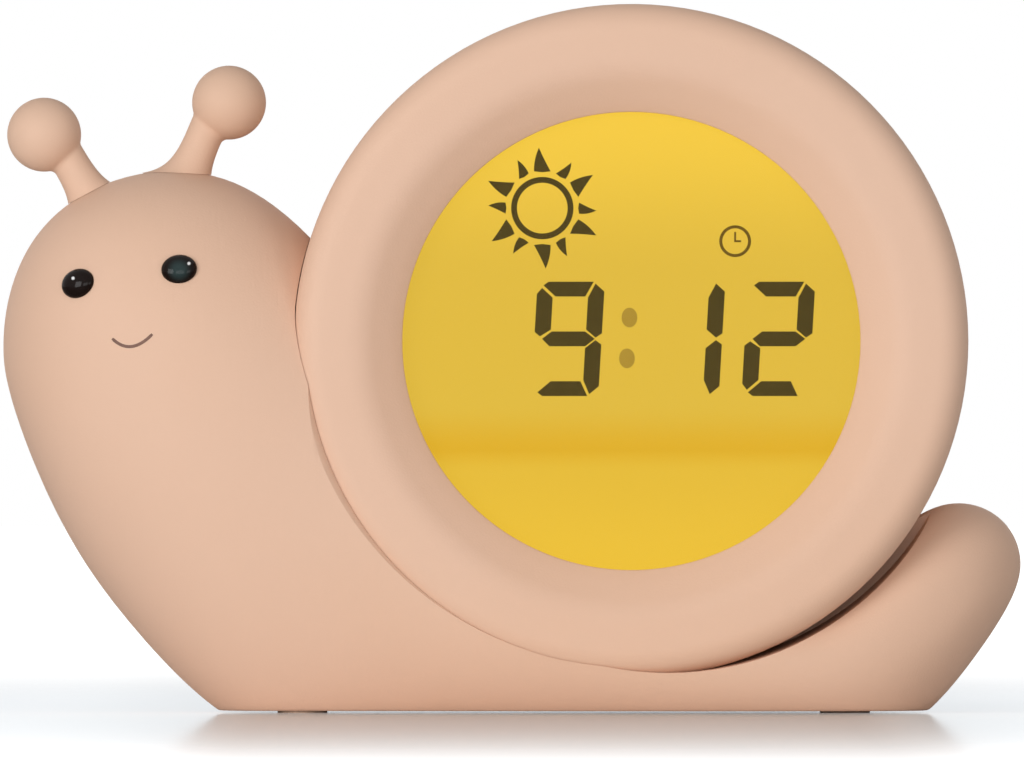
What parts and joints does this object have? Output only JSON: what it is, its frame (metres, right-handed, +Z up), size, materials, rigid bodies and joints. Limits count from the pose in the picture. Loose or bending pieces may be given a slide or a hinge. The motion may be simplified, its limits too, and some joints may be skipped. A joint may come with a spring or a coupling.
{
  "type": "kids alarm clock with night light",
  "caption": "Snail-shaped wake-up clock: a round drum with a backlit amber display sits in a soft beige snail body with ball-tipped antennae. Keys, inlet and battery door at the rear.",
  "frame": {"origin": "middle of the overall box, at the underside of the rubber feet", "axes": "+X runs from the snail's head to its tail, to the right as the display is read; -Y is the display side; +Z is up"},
  "size_m": [0.165, 0.0522, 0.1147],
  "materials": {
    "beige_shell": "fine matte soft-touch",
    "beige_soft": "matte silicone",
    "button_beige": "matte",
    "black_gloss": "high gloss",
    "amber_lens": "clear tinted, smooth",
    "display_glass": "clear with dark segments",
    "white_diffuser": "translucent white",
    "black_foam": "foam",
    "circuit_board": "solder mask",
    "led_body": "moulded",
    "screw_steel": "nickel plated",
    "plated_steel": "bright stamped",
    "chip_black": "moulded",
    "ribbon_grey": "flat cable",
    "cell_wrap": "plain plastic wrap",
    "foot_rubber": "soft rubber",
    "speaker_paper": "pressed paper",
    "magnet_dark": "ground ferrite"
  },
  "bodies": {
    "root": {"antenna_left": "beige_soft", "antenna_right": "beige_soft", "battery_cells": "cell_wrap", "battery_contacts": "plated_steel", "board_screws": "screw_steel", "body_front": "beige_shell", "body_rear": "beige_shell", "body_screws": "screw_steel", "diffuser": "white_diffuser", "eye_left": "black_gloss", "eye_right": "black_gloss", "foot_pads": "foot_rubber", "inlet_socket": "plated_steel", "lcd_glass": "display_glass", "led_board": "circuit_board", "led_board_screws": "screw_steel", "leds": "led_body", "lens_gasket": "black_foam", "light_box": "white_diffuser", "main_board": "circuit_board", "main_chips": "chip_black", "port_board": "circuit_board", "ribbon_cable": "ribbon_grey", "shell_front": "beige_shell", "shell_rear": "beige_shell", "shell_screws": "screw_steel", "speaker_cone": "speaker_paper", "speaker_frame": "plated_steel", "speaker_magnet": "magnet_dark", "switch_body": "plated_steel", "tact_switches": "chip_black", "window_lens": "amber_lens"},
    "button_alarm": {"button_alarm": "button_beige"},
    "button_down": {"button_down": "button_beige"},
    "button_set": {"button_set": "button_beige"},
    "button_up": {"button_up": "button_beige"},
    "button_light": {"button_light": "button_beige"},
    "slide_knob": {"slide_knob": "button_beige"},
    "battery_door": {"battery_door": "beige_shell", "door_screws": "screw_steel"}
  },
  "joints": [
    {"name": "button_alarm_press", "type": "slide", "parent": "root", "child": "button_alarm", "axis": [0, -1, 0], "range_m": [0, 0.0006], "stiffness_N_per_m": 400},
    {"name": "button_down_press", "type": "slide", "parent": "root", "child": "button_down", "axis": [0, -1, 0], "range_m": [0, 0.0006], "stiffness_N_per_m": 400},
    {"name": "button_set_press", "type": "slide", "parent": "root", "child": "button_set", "axis": [0, -1, 0], "range_m": [0, 0.0006], "stiffness_N_per_m": 400},
    {"name": "button_up_press", "type": "slide", "parent": "root", "child": "button_up", "axis": [0, -1, 0], "range_m": [0, 0.0006], "stiffness_N_per_m": 400},
    {"name": "button_light_press", "type": "slide", "parent": "root", "child": "button_light", "axis": [0, -1, 0], "range_m": [0, 0.0006], "stiffness_N_per_m": 400},
    {"name": "alarm_slide", "type": "slide", "parent": "root", "child": "slide_knob", "axis": [1, 0, 0], "range_m": [0, 0.004]},
    {"name": "battery_door_lift", "type": "slide", "parent": "root", "child": "battery_door", "axis": [0, 1, 0], "range_m": [0, 0.025]}
  ]
}
